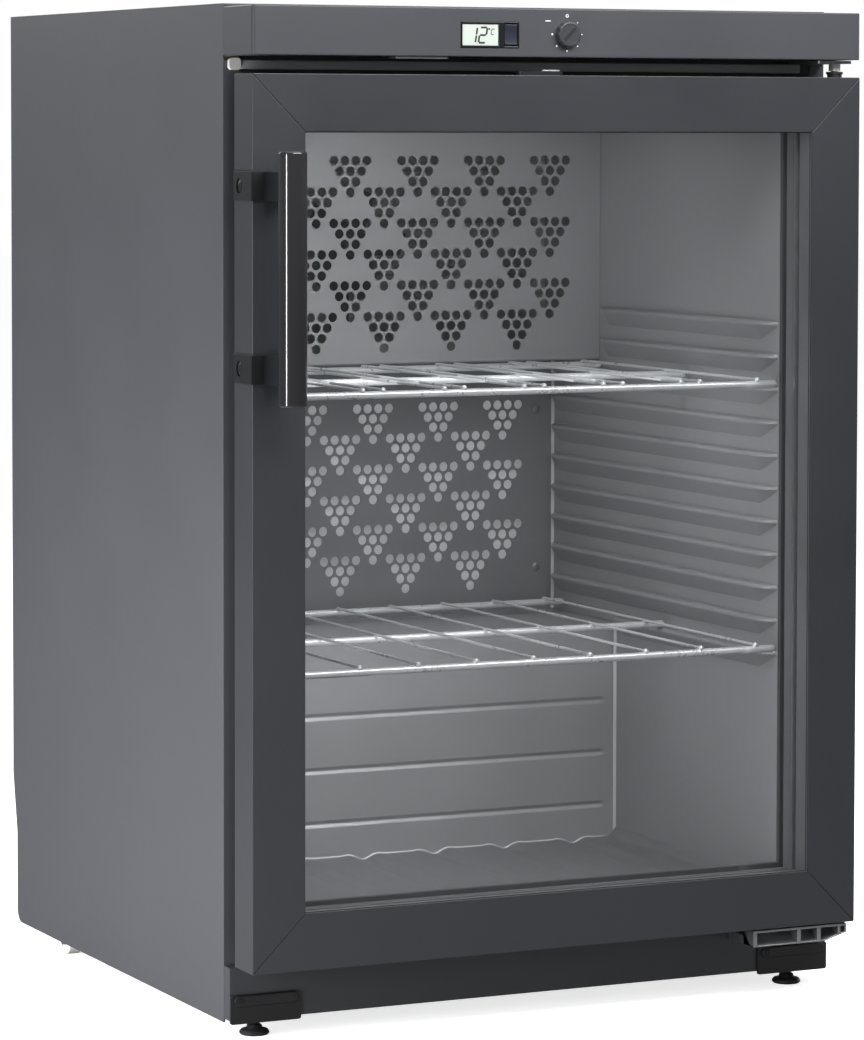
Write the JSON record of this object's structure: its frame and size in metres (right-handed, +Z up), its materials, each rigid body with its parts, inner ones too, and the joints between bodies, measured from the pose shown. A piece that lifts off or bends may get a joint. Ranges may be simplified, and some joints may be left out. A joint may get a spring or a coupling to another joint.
{
  "type": "glass door merchandiser",
  "caption": "Under-counter refrigerated display cabinet with a hinged glass door, wire shelves, ribbed chamber, bar handle and a front control strip.",
  "frame": {"origin": "middle of the bounding box's bottom face, on the floor", "axes": "+Z up, +Y from the door towards the back, +X to the right as seen from the front"},
  "size_m": [0.602, 0.6576, 0.902],
  "materials": {
    "case_sheet": "satin silver-grey",
    "fascia_sheet": "satin grey",
    "door_frame": "dark satin anodised",
    "door_liner": "satin",
    "liner_sheet": "satin",
    "duct_sheet": "satin",
    "mouth_strip": "satin",
    "back_sheet": "galvanised",
    "pan_steel": "galvanised",
    "plinth_sheet": "satin dark grey",
    "corner_plastic": "satin black",
    "foot_plastic": "matt",
    "white_plastic": "matt",
    "foam": "rigid foam",
    "wire_chrome": "bright",
    "compressor_black": "gloss black",
    "tray_plastic": "matt",
    "coil_fins": "matt",
    "coil_black": "matt black",
    "grille_sheet": "matt",
    "black_plastic": "matt",
    "bezel_plastic": "gloss",
    "lcd_face": "gloss",
    "rocker_plastic": "gloss",
    "knob_plastic": "satin",
    "rail_steel": "satin",
    "zinc_steel": "zinc plated",
    "cast_metal": "cast, satin",
    "gasket_rubber": "matt",
    "glass_pane": "clear",
    "spacer_alu": "satin",
    "handle_black": "gloss black",
    "bracket_metal": "satin"
  },
  "bodies": {
    "cabinet": {"side_panel_left": "case_sheet", "side_panel_right": "case_sheet", "top_panel": "case_sheet", "rear_panel": "back_sheet", "base_pan": "pan_steel", "insulation_shell": "foam", "plinth_panel": "plinth_sheet", "corner_cover_left": "corner_plastic", "corner_cover_right": "corner_plastic", "front_foot_rail": "pan_steel", "roller_axle": "zinc_steel", "liner_left_wall": "liner_sheet", "liner_right_wall": "liner_sheet", "liner_ceiling": "liner_sheet", "liner_floor": "liner_sheet", "liner_rear_wall": "liner_sheet", "liner_step": "liner_sheet", "liner_front_frame": "mouth_strip", "evaporator_cover": "duct_sheet", "rear_duct_panel": "duct_sheet", "evaporator": "coil_fins", "fan_motor": "black_plastic", "compressor": "compressor_black", "drip_tray": "tray_plastic", "condenser_coil": "coil_black", "machine_grille": "grille_sheet", "power_inlet": "black_plastic", "fascia": "fascia_sheet", "display_bezel": "bezel_plastic", "lcd_window": "lcd_face", "thermostat_body": "white_plastic", "top_cross_rail": "rail_steel", "hinge_hole_plug": "white_plastic", "upper_hinge_plate": "zinc_steel", "upper_hinge_bush": "white_plastic", "lower_hinge_bracket": "cast_metal"},
    "door": {"door_frame_left": "door_frame", "door_frame_right": "door_frame", "door_frame_top": "door_frame", "door_frame_bottom": "door_frame", "door_inner_frame": "door_liner", "door_gasket": "gasket_rubber", "glass_outer": "glass_pane", "glass_inner": "glass_pane", "glass_spacer": "spacer_alu", "handle_bar": "handle_black", "handle_bracket_upper": "bracket_metal", "handle_bracket_lower": "bracket_metal", "door_bush_upper": "black_plastic", "lock_plate": "zinc_steel"},
    "lock_bolt": {"lock_bolt": "zinc_steel"},
    "shelf_upper": {"shelf_upper": "wire_chrome"},
    "shelf_lower": {"shelf_lower": "wire_chrome"},
    "thermostat_knob": {"thermostat_knob": "knob_plastic"},
    "rocker_switch": {"rocker_switch": "rocker_plastic"},
    "foot_left": {"foot_left": "foot_plastic"},
    "foot_right": {"foot_right": "foot_plastic"},
    "roller_left": {"roller_left": "white_plastic"},
    "roller_right": {"roller_right": "white_plastic"},
    "fan_rotor": {"fan_rotor": "black_plastic"}
  },
  "joints": [
    {"name": "door_hinge", "type": "hinge", "parent": "cabinet", "child": "door", "pos_m": [0.286, -0.25625, 0.45], "axis": [0, 0, 1], "range_deg": [0, 115]},
    {"name": "lock_slide", "type": "slide", "parent": "door", "child": "lock_bolt", "axis": [0, 0, 1], "range_m": [0, 0.008]},
    {"name": "shelf_upper_slide", "type": "slide", "parent": "cabinet", "child": "shelf_upper", "axis": [0, -1, 0], "range_m": [0, 0.025]},
    {"name": "shelf_lower_slide", "type": "slide", "parent": "cabinet", "child": "shelf_lower", "axis": [0, -1, 0], "range_m": [0, 0.025]},
    {"name": "thermostat_turn", "type": "hinge", "parent": "cabinet", "child": "thermostat_knob", "pos_m": [0.001, -0.27625, 0.877], "axis": [0, 1, 0], "range_deg": [-45, 225]},
    {"name": "rocker_tilt", "type": "hinge", "parent": "cabinet", "child": "rocker_switch", "pos_m": [-0.0542, -0.27225, 0.8761], "axis": [1, 0, 0], "range_deg": [-5, 5]},
    {"name": "foot_left_screw", "type": "hinge", "parent": "cabinet", "child": "foot_left", "pos_m": [-0.268, -0.20625, 0.01], "axis": [0, 0, 1], "continuous": true},
    {"name": "foot_right_screw", "type": "hinge", "parent": "cabinet", "child": "foot_right", "pos_m": [0.27, -0.20625, 0.01], "axis": [0, 0, 1], "continuous": true},
    {"name": "roller_left_spin", "type": "hinge", "parent": "cabinet", "child": "roller_left", "pos_m": [-0.285, 0.20375, 0.012], "axis": [1, 0, 0], "continuous": true},
    {"name": "roller_right_spin", "type": "hinge", "parent": "cabinet", "child": "roller_right", "pos_m": [0.287, 0.20375, 0.012], "axis": [1, 0, 0], "continuous": true},
    {"name": "fan_spin", "type": "hinge", "parent": "cabinet", "child": "fan_rotor", "pos_m": [0.001, 0.18125, 0.68], "axis": [0, 1, 0], "continuous": true}
  ]
}
